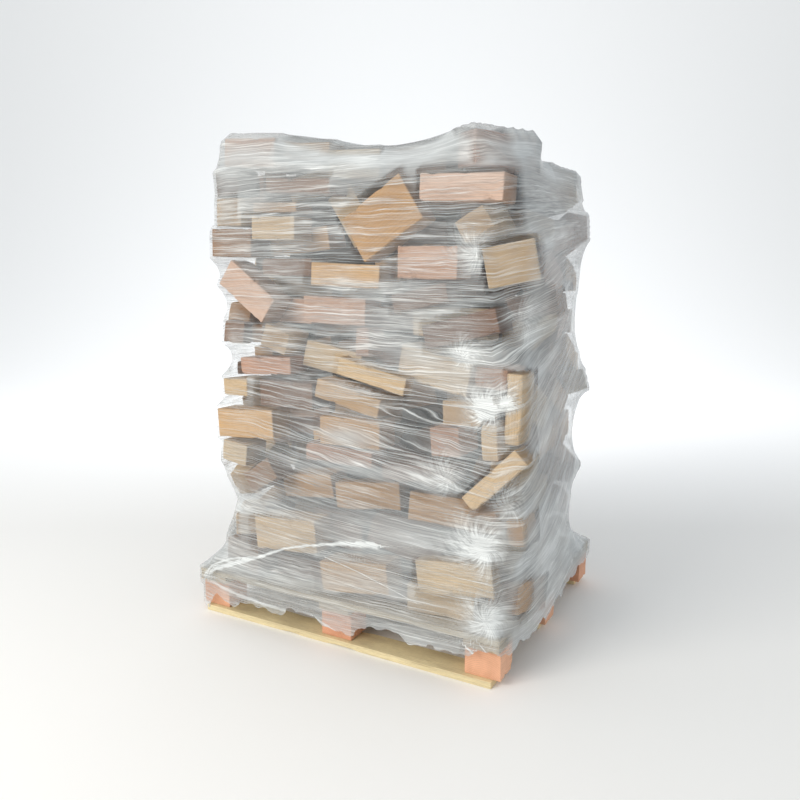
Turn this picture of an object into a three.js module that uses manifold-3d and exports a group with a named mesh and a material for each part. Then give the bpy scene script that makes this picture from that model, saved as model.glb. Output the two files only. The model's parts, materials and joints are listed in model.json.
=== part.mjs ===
// Bale of firewood: sawn hardwood blocks piled on a wooden pallet and wrapped in stretch film.
// Millimetres, +Z up. X runs along the long front of the pallet and Y runs from the front to the back.
import * as THREE from 'three';
import { mergeVertices } from 'three/addons/utils/BufferGeometryUtils.js';
import Module from 'manifold-3d';

const wasm = await Module();
wasm.setup();

// Pallet
const palletLength = 1200;
const palletDepth = 1000;
const bottomBoardThick = 22;
const bottomBoardWidth = 100;
const bottomBoardInset = 24; // the blocks stand this far past the ends of the bottom boards
const palletBlockLength = 120;
const palletBlockDepth = 100;
const palletBlockHeight = 96;
const palletBlockSetback = 17; // the front edge of a bottom board lies this far ahead of its blocks
const stringerThick = 24;
const deckBoardThick = 20;
const deckBoardWidth = 100;
const deckBoardCount = 7;
const touch = 0.3; // clearance between pieces that touch

const blockBottom = bottomBoardThick + touch;
const blockTop = blockBottom + palletBlockHeight;
const stringerBottom = blockTop + touch;
const deckBottom = stringerBottom + stringerThick + touch;
const deckTop = deckBottom + deckBoardThick;
const pileFloor = deckTop + touch;

// Pile of firewood, seen from above: its corners in turn from the front left, and how round each is
const pileCorners = [
  { x: -512, y: -500, round: 190 },
  { x: 640, y: -500, round: 45 },
  { x: 546, y: 470, round: 130 },
  { x: -535, y: 470, round: 130 },
];
const courseCount = 10;
const courseRise = 146;
const blockPitch = 298; // from one block to the next along a course
const frontInset = 62; // at the front a course lies this far in, behind the blocks that show there
const footInset = 55; // the lowest course keeps this far in, on the deck
const nearCornerClear = 150; // the courses end this far from the near corner on either side
const blockLength = 250;
const blockWidth = 104;
const blockHeight = 98;
const coreInset = 88; // the core of the heap lies this far inside the outer faces of the blocks
const coreSides = 27;
const coreTop = 1500;
const topRows = 5;
const topColumns = 4;
const topRowPitch = 160;
const topColumnPitch = 262;
const pocketGap = 0.4; // clearance round a block that lies in the heap

// Film
const filmThick = 4;
const filmStandOff = 3; // from the outermost corners of the wood to the inside of the film
const filmBottom = stringerBottom + 2;
const filmLevels = 15;
const filmSides = 24; // a multiple of 4, so that a side faces each way squarely
const filmShoulder = 1450; // above this height the film stands straight up to its rim
const roofStandOff = 6;
const roofThick = 10; // the film lies in several layers over the top
const roofRings = 7;
const roofSide = 130; // the longest side of the rim
const roofProbe = 3; // distance from one place where the height of the wood is measured to the next

const bale = new THREE.Group();

const palePine = { color: 0xd9b877, roughness: 0.8, metalness: 0 };
const pinkPine = { color: 0xd98a5c, roughness: 0.8, metalness: 0 };
const greyPine = { color: 0xb9a98c, roughness: 0.85, metalness: 0 };
const tanWood = { color: 0xc99a63, roughness: 0.8, metalness: 0 };
const pinkWood = { color: 0xc98f70, roughness: 0.8, metalness: 0 };
const darkWood = { color: 0x8a5c3a, roughness: 0.8, metalness: 0 };
const milkyFilm = { color: 0xdfe6e8, roughness: 0.2, metalness: 0 };

function addPiece(name, geometry, finish) {
  const piece = new THREE.Mesh(geometry, new THREE.MeshStandardMaterial(finish));
  piece.name = name;
  bale.add(piece);
  return piece;
}

function addBoard(name, [length, depth, thick], [x, y, bottom], finish) {
  const board = addPiece(name, new THREE.BoxGeometry(length, depth, thick), finish);
  board.position.set(x, y, bottom + thick / 2);
}

// The same steps from the first value to the last, both of them included.
function spread(first, last, count) {
  return Array.from({ length: count }, (_, i) => first + ((last - first) * i) / (count - 1));
}

function addPallet() {
  const rows = ['front', 'middle', 'back'];
  const columns = ['left', 'middle', 'right'];
  const outerX = (palletLength - palletBlockLength) / 2;
  const boardY = (palletDepth - bottomBoardWidth) / 2;
  const blockY = palletDepth / 2 - palletBlockSetback - palletBlockDepth / 2;
  const boardLength = palletLength - 2 * bottomBoardInset;
  const deckY = (palletDepth - deckBoardWidth) / 2;

  spread(-boardY, boardY, rows.length).forEach((y, i) => {
    const size = [boardLength, bottomBoardWidth, bottomBoardThick];
    addBoard(`bottom_board_${rows[i]}`, size, [0, y, 0], palePine);
  });
  spread(-blockY, blockY, rows.length).forEach((y, i) => {
    spread(-outerX, outerX, columns.length).forEach((x, j) => {
      const size = [palletBlockLength, palletBlockDepth, palletBlockHeight];
      addBoard(`pallet_block_${rows[i]}_${columns[j]}`, size, [x, y, blockBottom], pinkPine);
    });
  });
  spread(-outerX, outerX, columns.length).forEach((x, j) => {
    const size = [palletBlockLength, palletDepth, stringerThick];
    addBoard(`stringer_board_${columns[j]}`, size, [x, 0, stringerBottom], greyPine);
  });
  spread(-deckY, deckY, deckBoardCount).forEach((y, i) => {
    const size = [palletLength, deckBoardWidth, deckBoardThick];
    addBoard(`deck_board_${i + 1}`, size, [0, y, deckBottom], greyPine);
  });
}

// The blocks that show at the front and at the near corner, from the top down. at is the centre of a
// block's outer face as it is seen from the front, size is its length, its depth into the pile and its
// height, and the turns are in degrees: roll lifts its right end, yaw swings its right end back.
// The small ones are ends and corners that show between the others, and belong to the heap.
const frontBlocks = [
  { at: [-330, -470, 1652], size: [215, 110, 92], roll: -4, wood: pinkWood },
  { at: [-135, -440, 1642], size: [200, 100, 56], roll: -5, wood: tanWood, small: true },
  { at: [60, -440, 1592], size: [190, 100, 84], roll: -3, wood: tanWood, small: true },
  { at: [240, -440, 1580], size: [220, 100, 86], roll: 3, wood: tanWood, small: true },
  { at: [612, -250, 1562], size: [230, 100, 88], yaw: 84, wood: tanWood, small: true },
  { at: [598, -15, 1545], size: [200, 100, 90], yaw: 84, wood: tanWood, small: true },
  { at: [-420, -480, 1560], size: [100, 110, 84], roll: 4, wood: tanWood, small: true },
  { at: [-110, -455, 1588], size: [215, 110, 46], roll: -3, wood: darkWood, small: true },
  { at: [500, -505, 1596], size: [220, 85, 95], yaw: 60, wood: pinkWood, turnAtLeft: true },
  { at: [462, -520, 1490], size: [258, 100, 76], roll: -3, wood: pinkWood },
  { at: [-118, -495, 1530], size: [250, 100, 46], roll: -4, wood: darkWood },
  { at: [-418, -482, 1462], size: [140, 180, 92], roll: -3, yaw: -14, wood: tanWood },
  { at: [-236, -480, 1466], size: [190, 100, 34], roll: -2, wood: darkWood, small: true },
  { at: [-217, -500, 1402], size: [176, 100, 74], roll: -2, wood: tanWood },
  { at: [206, -520, 1413], size: [235, 90, 152], roll: 32, wood: tanWood },
  { at: [20, -392, 1440], size: [190, 90, 95], roll: -57, wood: tanWood, small: true },
  { at: [496, -500, 1388], size: [98, 190, 70], roll: 30, wood: tanWood, small: true },
  { at: [-395, -500, 1358], size: [172, 100, 92], roll: -2, wood: darkWood },
  { at: [612, -505, 1277], size: [145, 190, 112], roll: 11, yaw: 18, wood: tanWood },
  { at: [356, -515, 1284], size: [195, 100, 95], roll: -1, wood: pinkWood },
  { at: [-168, -495, 1276], size: [200, 100, 56], roll: -1, wood: darkWood },
  { at: [70, -515, 1248], size: [252, 100, 72], roll: -3, wood: tanWood },
  { at: [-324, -515, 1197], size: [222, 100, 98], roll: -36, wood: pinkWood },
  { at: [330, -512, 1180], size: [185, 100, 56], roll: 12, wood: darkWood },
  { at: [632, -395, 1160], size: [136, 150, 70], roll: 11, yaw: 6, wood: darkWood },
  { at: [18, -500, 1138], size: [236, 100, 84], roll: -2, wood: pinkWood },
  { at: [463, -515, 1094], size: [238, 110, 72], roll: 14, wood: darkWood },
  { at: [-235, -480, 1036], size: [108, 110, 76], roll: -20, wood: tanWood, small: true },
  { at: [114, -485, 1042], size: [48, 100, 92], roll: 0, wood: tanWood, small: true },
  { at: [360, -476, 966], size: [255, 100, 103], roll: -11, yaw: -7, wood: tanWood },
  { at: [174, -534, 942], size: [246, 55, 55], roll: -13, wood: tanWood },
  { at: [558, -505, 955], size: [96, 150, 60], roll: -5, wood: pinkWood },
  { at: [-268, -495, 946], size: [214, 100, 58], roll: 3, wood: pinkWood },
  { at: [-415, -484, 862], size: [146, 120, 60], roll: 4, yaw: -16, wood: tanWood, small: true },
  { at: [-176, -505, 855], size: [218, 100, 88], roll: 0, wood: darkWood },
  { at: [70, -510, 862], size: [244, 100, 62], roll: -13, wood: tanWood },
  { at: [634, -525, 874], size: [46, 100, 202], roll: -2, wood: tanWood },
  { at: [466, -505, 846], size: [118, 140, 72], roll: 2, wood: tanWood },
  { at: [556, -500, 766], size: [50, 100, 106], roll: 4, wood: darkWood, small: true },
  { at: [414, -505, 754], size: [94, 140, 88], roll: 5, wood: pinkWood },
  { at: [-362, -500, 738], size: [246, 100, 100], roll: 3, wood: tanWood },
  { at: [-432, -480, 622], size: [110, 110, 76], roll: -8, wood: darkWood, small: true },
  { at: [81, -515, 751], size: [226, 100, 92], roll: 0, wood: tanWood },
  { at: [31, -505, 669], size: [256, 100, 56], roll: -1, wood: pinkWood },
  { at: [318, -500, 645], size: [250, 100, 50], roll: 4, wood: darkWood },
  { at: [585, -538, 664], size: [228, 78, 54], roll: 45, wood: tanWood },
  { at: [-318, -480, 552], size: [130, 100, 80], roll: 32, wood: tanWood, small: true },
  { at: [538, -500, 520], size: [92, 140, 66], roll: 9, wood: tanWood },
  { at: [640, -500, 505], size: [50, 120, 76], roll: 6, wood: darkWood, small: true },
  { at: [-194, -505, 362], size: [260, 100, 116], roll: 5, wood: tanWood },
  { at: [456, -520, 337], size: [256, 62, 106], roll: 7, wood: tanWood },
  { at: [86, -505, 260], size: [262, 100, 104], roll: 8, wood: tanWood },
  { at: [-420, -470, 232], size: [180, 110, 96], roll: -4, yaw: -12, wood: pinkWood, small: true },
];

// The block that shows low on the right, where the pile stands a little past the pallet.
const lowRightBlock = { at: [634, -312, 246], size: [268, 95, 96], roll: -14, yaw: 90, wood: tanWood };

const radians = THREE.MathUtils.degToRad;

function turned({ yaw = 0, tilt = 0, roll = 0 }) {
  return new THREE.Euler(radians(tilt), -radians(roll), radians(yaw), 'ZXY');
}

// A block is placed by the middle of its outer face, or by that face's left edge.
function placed(block) {
  const matrix = new THREE.Matrix4().makeRotationFromEuler(turned(block));
  const toCentre = new THREE.Vector3(block.turnAtLeft ? block.size[0] / 2 : 0, block.size[1] / 2, 0);
  const centre = toCentre.applyMatrix4(matrix).add(new THREE.Vector3(...block.at));
  return matrix.setPosition(centre);
}

function blockGeometry(block, grow = 0) {
  return new THREE.BoxGeometry(...block.size.map((side) => side + 2 * grow)).applyMatrix4(placed(block));
}

// A repeatable number from 0 to 1 for each whole number.
function chance(n) {
  const s = Math.sin(n * 12.9898) * 43758.5453;
  return s - Math.floor(s);
}

function between(n, least, most) {
  return least + (most - least) * chance(n);
}

// The pile's outline from above: straight faces joined by round corners, counter-clockwise, starting
// where the front left corner ends.
function pileOutline() {
  const outline = new THREE.Path();
  const points = pileCorners.map(({ x, y }) => new THREE.Vector2(x, y));
  const along = (i, j, far) => points[i].clone().lerp(points[j], far / points[i].distanceTo(points[j]));
  const count = points.length;
  const start = along(0, 1, pileCorners[0].round);
  outline.moveTo(start.x, start.y);
  for (let k = 1; k <= count; k += 1) {
    const here = k % count;
    const before = along(here, (here + count - 1) % count, pileCorners[here].round);
    const after = along(here, (here + 1) % count, pileCorners[here].round);
    outline.lineTo(before.x, before.y);
    outline.quadraticCurveTo(points[here].x, points[here].y, after.x, after.y);
  }
  return outline;
}

// One course of blocks along the outline, once round the pile. The blocks of the near corner are
// in the list above.
function courseBlocks(course) {
  const outline = pileOutline();
  const whole = outline.getLength();
  const frontLength = pileCorners[1].x - pileCorners[0].x - pileCorners[0].round;
  const count = Math.floor(whole / blockPitch);
  const blocks = [];
  for (let i = 0; i < count; i += 1) {
    const seed = course * 97 + i * 7 + 11;
    const along = (i + 0.35 + 0.5 * (course % 2)) * blockPitch + between(seed, -20, 20);
    if (Math.abs(along - frontLength) < nearCornerClear) {
      continue;
    }
    const u = (along / whole) % 1;
    const point = outline.getPointAt(u);
    const way = outline.getTangentAt(u);
    const flat = course === 0;
    const height = between(seed + 1, 0.78, 1.1) * blockHeight;
    const rise = flat ? pileFloor + height / 2 + 0.5 : pileFloor + (course + 0.42) * courseRise;
    const atFront = along < frontLength ? frontInset : 0;
    const inset = between(seed + 2, 0, 22) + Math.max(atFront, flat ? footInset : 0);
    blocks.push({
      at: [point.x - way.y * inset, point.y + way.x * inset, rise + (flat ? 0 : between(seed + 3, -14, 14))],
      size: [between(seed + 4, 0.86, 1.04) * blockLength, between(seed + 5, 0.8, 1.1) * blockWidth, height],
      yaw: THREE.MathUtils.radToDeg(Math.atan2(way.y, way.x)) + between(seed + 6, -7, 7),
      tilt: flat ? 0 : between(seed + 7, -12, 12),
      roll: flat ? 0 : between(seed + 8, -24, 24),
    });
  }
  return blocks;
}

// Blocks that lie on the top of the pile, in rows across it.
function topBlocks() {
  const firstX = -380;
  const firstY = -325;
  const stagger = 60; // every other row starts this much further right
  const blocks = [];
  for (let row = 0; row < topRows; row += 1) {
    for (let column = 0; column < topColumns; column += 1) {
      const seed = 3000 + row * 41 + column * 13;
      const x = firstX + column * topColumnPitch + (row % 2) * stagger + between(seed, -15, 15);
      const y = firstY + row * topRowPitch + between(seed + 1, -12, 12);
      const height = between(seed + 2, 0.8, 1.1) * blockHeight;
      blocks.push({
        at: [x, y - blockWidth / 2, coreTop + between(seed + 3, 20, 62)],
        size: [between(seed + 4, 0.86, 1.04) * blockLength, blockWidth, height],
        yaw: between(seed + 5, -20, 20),
        tilt: between(seed + 6, -10, 10),
        roll: between(seed + 7, -12, 12),
      });
    }
  }
  return blocks;
}

function solidFrom(geometry) {
  const bare = geometry.clone();
  bare.deleteAttribute('normal');
  bare.deleteAttribute('uv');
  const merged = mergeVertices(bare);
  return new wasm.Manifold(
    new wasm.Mesh({
      numProp: 3,
      vertProperties: new Float32Array(merged.attributes.position.array),
      triVerts: new Uint32Array(merged.index.array),
    }),
  );
}

function geometryFrom(solid) {
  const mesh = solid.getMesh();
  const geometry = new THREE.BufferGeometry();
  geometry.setAttribute('position', new THREE.BufferAttribute(mesh.vertProperties, 3));
  geometry.setIndex(new THREE.BufferAttribute(mesh.triVerts, 1));
  return geometry;
}

// The core reaches to just behind the outer faces, from the deck to under the top blocks.
function coreGeometry() {
  const points = pileOutline().getSpacedPoints(coreSides).slice(0, coreSides);
  const shape = new THREE.Shape(points.map((point) => point.setLength(point.length() - coreInset)));
  const core = new THREE.ExtrudeGeometry(shape, { depth: coreTop - pileFloor, bevelEnabled: false });
  return core.translate(0, 0, pileFloor);
}

// All the blocks that don't show at the front lie in one heap, with a pocket for each that does.
function heapGeometry(heapBlocks, ownBlocks) {
  let heap = solidFrom(coreGeometry());
  heapBlocks.forEach((block) => {
    heap = heap.add(solidFrom(blockGeometry(block)));
  });
  ownBlocks.forEach((block) => {
    heap = heap.subtract(solidFrom(blockGeometry(block, pocketGap)));
  });
  const parts = heap.decompose().sort((a, b) => b.volume() - a.volume());
  return geometryFrom(parts[0]); // the rest are chips between one pocket and the next
}

// The lines of a block's edges as pairs of points.
function edgesOf(block) {
  const [a, b, c] = block.size.map((side) => side / 2);
  const matrix = placed(block);
  const corner = (x, y, z) => new THREE.Vector3(x * a, y * b, z * c).applyMatrix4(matrix);
  const edges = [];
  [-1, 1].forEach((p) => {
    [-1, 1].forEach((q) => {
      edges.push([corner(-1, p, q), corner(1, p, q)]);
      edges.push([corner(p, -1, q), corner(p, 1, q)]);
      edges.push([corner(p, q, -1), corner(p, q, 1)]);
    });
  });
  return edges;
}

// The points of a line that lie between two heights: its ends there.
function clipped([from, to], low, high) {
  const rise = to.z - from.z;
  if (Math.abs(rise) < 1e-6) {
    return from.z >= low && from.z <= high ? [from, to] : [];
  }
  const first = Math.min(Math.max((low - from.z) / rise, 0), 1);
  const last = Math.min(Math.max((high - from.z) / rise, 0), 1);
  return first === last ? [] : [from.clone().lerp(to, first), from.clone().lerp(to, last)];
}

// Stretched film spans from one outermost corner to the next, so at each height it is an outline with
// filmSides straight sides, each touching the wood that lies between the heights next to it.
function filmRing(edges, low, high, standOff) {
  const points = edges.flatMap((edge) => clipped(edge, low, high));
  const reach = (angle) => {
    const [x, y] = [Math.cos(angle), Math.sin(angle)];
    return Math.max(...points.map((point) => point.x * x + point.y * y)) + standOff;
  };
  const step = (2 * Math.PI) / filmSides;
  const ring = [];
  for (let i = 0; i < filmSides; i += 1) {
    const angle = i * step;
    const here = reach(angle);
    const next = reach(angle + step);
    const across = (next - here * Math.cos(step)) / Math.sin(step);
    const [x, y] = [Math.cos(angle), Math.sin(angle)];
    ring.push([here * x - across * y, here * y + across * x]);
  }
  return ring;
}

// Places on the wood of the given blocks that can be its highest: their corners, and where plumb lines
// a little apart leave each block at its top.
function highPlaces(blocks) {
  return blocks.flatMap((block) => {
    const corners = edgesOf(block).flat();
    const matrix = placed(block);
    const inverse = matrix.clone().invert();
    const box = new THREE.Box3().setFromPoints(corners);
    const size = new THREE.Vector3(...block.size);
    const upright = new THREE.Box3().setFromCenterAndSize(new THREE.Vector3(), size);
    const places = [...corners];
    for (let x = box.min.x; x < box.max.x; x += roofProbe) {
      for (let y = box.min.y; y < box.max.y; y += roofProbe) {
        const plumb = new THREE.Ray(new THREE.Vector3(x, y, box.max.z + 1), new THREE.Vector3(0, 0, -1));
        const found = plumb.applyMatrix4(inverse).intersectBox(upright, new THREE.Vector3());
        if (found) {
          places.push(found.applyMatrix4(matrix));
        }
      }
    }
    return places;
  });
}

// The rim: the outline of the wall's top, its long sides divided into equal parts.
function divided(outline, parts) {
  return outline.flatMap(([x, y], i) => {
    const [nextX, nextY] = outline[(i + 1) % outline.length];
    return spread(0, 1, parts[i] + 1)
      .slice(0, -1)
      .map((t) => [x + (nextX - x) * t, y + (nextY - y) * t]);
  });
}

function partsOf(outline) {
  return outline.map(([x, y], i) => {
    const [nextX, nextY] = outline[(i + 1) % outline.length];
    return Math.ceil(Math.hypot(nextX - x, nextY - y) / roofSide);
  });
}

// The roof is divided into cells by rings inside its rim and by spokes from its middle. Every point of
// it is as high as the highest wood in the cells around that point. The innermost ring, where the spokes
// come close together, is level.
function roofHeights(rim, places) {
  const count = rim.length;
  const cells = Array.from({ length: roofRings }, () => new Array(count).fill(coreTop));
  const cross = (a, b) => a[0] * b[1] - a[1] * b[0];
  places.forEach(({ x, y, z }) => {
    for (let i = 0; i < count; i += 1) {
      const [here, next] = [rim[i], rim[(i + 1) % count]];
      const whole = cross(here, next);
      const [a, b] = [cross([x, y], next) / whole, cross(here, [x, y]) / whole];
      if (a >= 0 && b >= 0) {
        const ring = Math.min(Math.max(Math.floor((1 - a - b) * roofRings), 0), roofRings - 1);
        cells[ring][i] = Math.max(cells[ring][i], z);
      }
    }
  });
  const middle = Math.max(...cells[roofRings - 1], ...cells[roofRings - 2]);
  return spread(0, roofRings - 1, roofRings).map((r) =>
    rim.map((_, i) => {
      if (r === roofRings - 1) {
        return middle;
      }
      const before = (i + count - 1) % count;
      const further = Math.max(r - 1, 0);
      return Math.max(cells[r][i], cells[r][before], cells[further][i], cells[further][before]);
    }),
  );
}

// A closed bell: a wall and a roof outside, and the same inside, joined at the lower edge.
function filmGeometry(blocks) {
  const corner = [palletLength / 2, palletDepth / 2];
  const palletEdge = { at: [0, -corner[1], (filmBottom + deckTop) / 2] };
  palletEdge.size = [palletLength, palletDepth, deckTop - filmBottom];
  const edges = [palletEdge, ...blocks].flatMap(edgesOf);
  const top = Math.max(...edges.flat().map((point) => point.z));
  const heights = [filmBottom, ...spread(deckTop + 30, filmShoulder, filmLevels - 1)];
  const wall = (standOff) =>
    heights.map((height, k) => {
      const high = k + 1 < filmLevels ? heights[k + 1] : top;
      const ring = filmRing(edges, heights[Math.max(k - 1, 0)], high, standOff);
      return ring.map(([x, y]) => [x, y, height]);
    });
  const walls = [wall(filmStandOff + filmThick), wall(filmStandOff)];
  const parts = partsOf(walls[1][filmLevels - 1]);
  const rims = walls.map((rings) => divided(rings[filmLevels - 1], parts));
  const highBlocks = blocks.filter((block) => Math.max(...edgesOf(block).flat().map(({ z }) => z)) > coreTop);
  const places = highPlaces(highBlocks).filter((place) => place.z > coreTop);
  const roof = roofHeights(rims[1], places);
  const count = rims[1].length;

  const positions = [];
  const faces = [];
  const addFace = (corners, outside) => {
    faces.push(...(outside ? corners : corners.reverse()));
  };
  const firsts = walls.map((rings, skin) => {
    const outside = skin === 0;
    const first = positions.length / 3;
    positions.push(...rings.flat(2));
    for (let k = 0; k < filmLevels - 1; k += 1) {
      for (let i = 0; i < filmSides; i += 1) {
        const [low, high] = [first + k * filmSides, first + (k + 1) * filmSides];
        const next = (i + 1) % filmSides;
        addFace([low + i, low + next, high + next], outside);
        addFace([low + i, high + next, high + i], outside);
      }
    }
    const rim = positions.length / 3;
    const lift = roofStandOff + (outside ? roofThick : 0);
    roof.forEach((ring, r) => {
      const plan = r === 0 ? rims[skin] : rims[1];
      const share = 1 - r / roofRings;
      ring.forEach((z, i) => positions.push(plan[i][0] * share, plan[i][1] * share, z + lift));
    });
    // from each side of the wall's top ring up to the parts of the rim above it
    let at = 0;
    parts.forEach((partCount, i) => {
      const low = first + (filmLevels - 1) * filmSides;
      addFace([low + i, low + ((i + 1) % filmSides), rim + ((at + partCount) % count)], outside);
      for (let j = at; j < at + partCount; j += 1) {
        addFace([low + i, rim + ((j + 1) % count), rim + j], outside);
      }
      at += partCount;
    });
    const middle = positions.length / 3;
    const innermost = rim + (roofRings - 1) * count;
    positions.push(0, 0, Math.max(...roof[roofRings - 1]) + lift);
    for (let i = 0; i < count; i += 1) {
      const next = (i + 1) % count;
      for (let ring = rim; ring < innermost; ring += count) {
        addFace([ring + i, ring + next, ring + count + next], outside);
        addFace([ring + i, ring + count + next, ring + count + i], outside);
      }
      addFace([innermost + i, innermost + next, middle], outside);
    }
    return first;
  });
  for (let i = 0; i < filmSides; i += 1) {
    const next = (i + 1) % filmSides;
    addFace([firsts[1] + i, firsts[1] + next, firsts[0] + next], true);
    addFace([firsts[1] + i, firsts[0] + next, firsts[0] + i], true);
  }
  const geometry = new THREE.BufferGeometry();
  geometry.setAttribute('position', new THREE.Float32BufferAttribute(positions, 3));
  geometry.setIndex(faces);
  return geometry;
}

addPallet();

const ownBlocks = [...frontBlocks.filter((block) => !block.small), lowRightBlock];
const smallBlocks = frontBlocks.filter((block) => block.small);
const courses = Array.from({ length: courseCount }, (_, course) => courseBlocks(course)).flat();
const heapBlocks = [...smallBlocks, ...courses, ...topBlocks()];

ownBlocks.forEach((block, i) => {
  const number = String(i + 1).padStart(2, '0');
  addPiece(`firewood_block_${number}`, blockGeometry(block), block.wood);
});
addPiece('firewood_heap', heapGeometry(heapBlocks, ownBlocks), tanWood);

addPiece('stretch_film', filmGeometry([...ownBlocks, ...heapBlocks]), milkyFilm);

// The origin is the middle of the underside.
const middle = new THREE.Box3().setFromObject(bale, true).getCenter(new THREE.Vector3());
bale.position.set(-middle.x, -middle.y, 0);

export default bale;
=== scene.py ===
# Bale of firewood: sawn hardwood blocks on a pallet, wrapped in clear stretch film.
import json
import math
from functools import partial

import bpy
import numpy as np
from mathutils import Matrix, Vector


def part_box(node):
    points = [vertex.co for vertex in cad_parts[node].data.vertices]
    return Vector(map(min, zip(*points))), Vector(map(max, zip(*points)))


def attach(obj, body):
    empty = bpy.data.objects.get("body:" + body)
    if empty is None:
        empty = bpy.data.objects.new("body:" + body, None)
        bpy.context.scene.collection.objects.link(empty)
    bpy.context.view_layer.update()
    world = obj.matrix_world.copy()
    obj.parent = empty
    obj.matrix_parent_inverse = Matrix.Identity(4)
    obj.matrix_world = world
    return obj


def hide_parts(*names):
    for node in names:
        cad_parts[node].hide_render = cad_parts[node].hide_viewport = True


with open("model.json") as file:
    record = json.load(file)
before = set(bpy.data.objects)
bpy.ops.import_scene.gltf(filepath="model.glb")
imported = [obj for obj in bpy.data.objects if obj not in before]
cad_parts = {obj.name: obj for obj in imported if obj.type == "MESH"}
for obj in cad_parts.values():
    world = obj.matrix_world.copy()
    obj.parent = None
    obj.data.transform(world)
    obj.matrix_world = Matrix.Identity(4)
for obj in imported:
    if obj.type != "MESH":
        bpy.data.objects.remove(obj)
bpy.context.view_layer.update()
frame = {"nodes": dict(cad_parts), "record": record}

mm = 0.001


def hexColour(code):
    # an sRGB hex value as the linear colour that a shader takes
    parts = [int(code[i:i + 2], 16) / 255 for i in (1, 3, 5)]
    return [p / 12.92 if p <= 0.04045 else ((p + 0.055) / 1.055) ** 2.4 for p in parts] + [1.0]


def feed(node, inputs):
    # Each input, by its name or number or in order, is a value, a socket or a node whose first output
    # feeds it.
    for key, value in inputs.items() if isinstance(inputs, dict) else enumerate(inputs):
        if isinstance(value, bpy.types.Node):
            value = value.outputs[0]
        if isinstance(value, bpy.types.NodeSocket):
            node.id_data.links.new(value, node.inputs[key])
        else:
            node.inputs[key].default_value = value


def addNode(tree, kind, inputs=(), settings=(), stops=()):
    # a node with its settings and, on a colour ramp, its stops as (place, colour)
    node = tree.nodes.new("ShaderNode" + kind)
    for key, value in dict(settings).items():
        setattr(node, key, value)
    feed(node, inputs)
    for number, (place, colour) in enumerate(stops):
        elements = node.color_ramp.elements
        if number == len(elements):
            elements.new(1.0)
        elements[number].position = place
        elements[number].color = colour
    return node


times, add, fused = ({"operation": key} for key in ("MULTIPLY", "ADD", "MULTIPLY_ADD"))


def newMaterial(name):
    # a new material, what puts nodes into it, and its shader
    material = bpy.data.materials.new(name)
    material.use_nodes = True
    tree = material.node_tree
    return material, partial(addNode, tree), tree.nodes["Principled BSDF"]


def makePiece(name, points, faceSets, material, attributes, smooth):
    # faceSets holds one array of corner numbers for each number of sides
    mesh = bpy.data.meshes.new(name)
    mesh.vertices.add(len(points))
    mesh.vertices.foreach_set("co", np.asarray(points, np.float32).ravel())
    loops = np.concatenate([faces.ravel() for faces in faceSets])
    sides = np.concatenate([np.full(len(faces), faces.shape[1]) for faces in faceSets])
    mesh.loops.add(len(loops))
    mesh.loops.foreach_set("vertex_index", loops.astype(np.int32))
    mesh.polygons.add(len(sides))
    mesh.polygons.foreach_set("loop_start", (np.cumsum(sides) - sides).astype(np.int32))
    mesh.polygons.foreach_set("use_smooth", np.full(len(sides), smooth))
    for key, values in attributes.items():
        kind, field = ("FLOAT", "value") if values.ndim == 1 else ("FLOAT_VECTOR", "vector")
        layer = mesh.attributes.new(key, kind, "POINT")
        layer.data.foreach_set(field, np.asarray(values, np.float32).ravel())
    mesh.update(calc_edges=True)
    mesh.validate()
    mesh.materials.append(material)
    piece = bpy.data.objects.new(name, mesh)
    bpy.context.scene.collection.objects.link(piece)
    return piece


def gridFaces(across, rows, closed):
    # corners of the quads of a grid that is stored row by row, its last column joined to the first
    # one where it is closed
    i, j = np.meshgrid(np.arange(across if closed else across - 1), np.arange(rows - 1))
    i, j = i.ravel(), j.ravel()
    beside = (i + 1) % across
    row, above = j * across, (j + 1) * across
    return np.stack([row + i, row + beside, above + beside, above + i], axis=-1)


def chance(n):
    # a repeatable number from 0 to 1 for each whole number
    s = np.sin(np.asarray(n, float) * 12.9898) * 43758.5453
    return s - np.floor(s)


def between(n, least, most):
    return least + (most - least) * chance(n)


palletMiddle = np.array(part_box("deck_board_4")).mean(axis=0) * [1, 1, 0]
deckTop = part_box("deck_board_4")[1][2]


# Camera

cameraView = {
    "place": (1.3405, -2.4497, 1.2276),  # from the middle of the pallet, on the floor
    "tip": 80.89,
    "turn": 29.01,
    "lens": 33.12,
}

camera = bpy.data.objects.new("camera", bpy.data.cameras.new("camera"))
camera.location = Vector(palletMiddle) + Vector(cameraView["place"])
camera.rotation_euler = (math.radians(cameraView["tip"]), 0, math.radians(cameraView["turn"]))
camera.data.lens = cameraView["lens"]
camera.data.clip_end = 60
bpy.context.scene.collection.objects.link(camera)
bpy.context.scene.camera = camera

print("camera placed")


# Firewood: where every block lies

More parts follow.
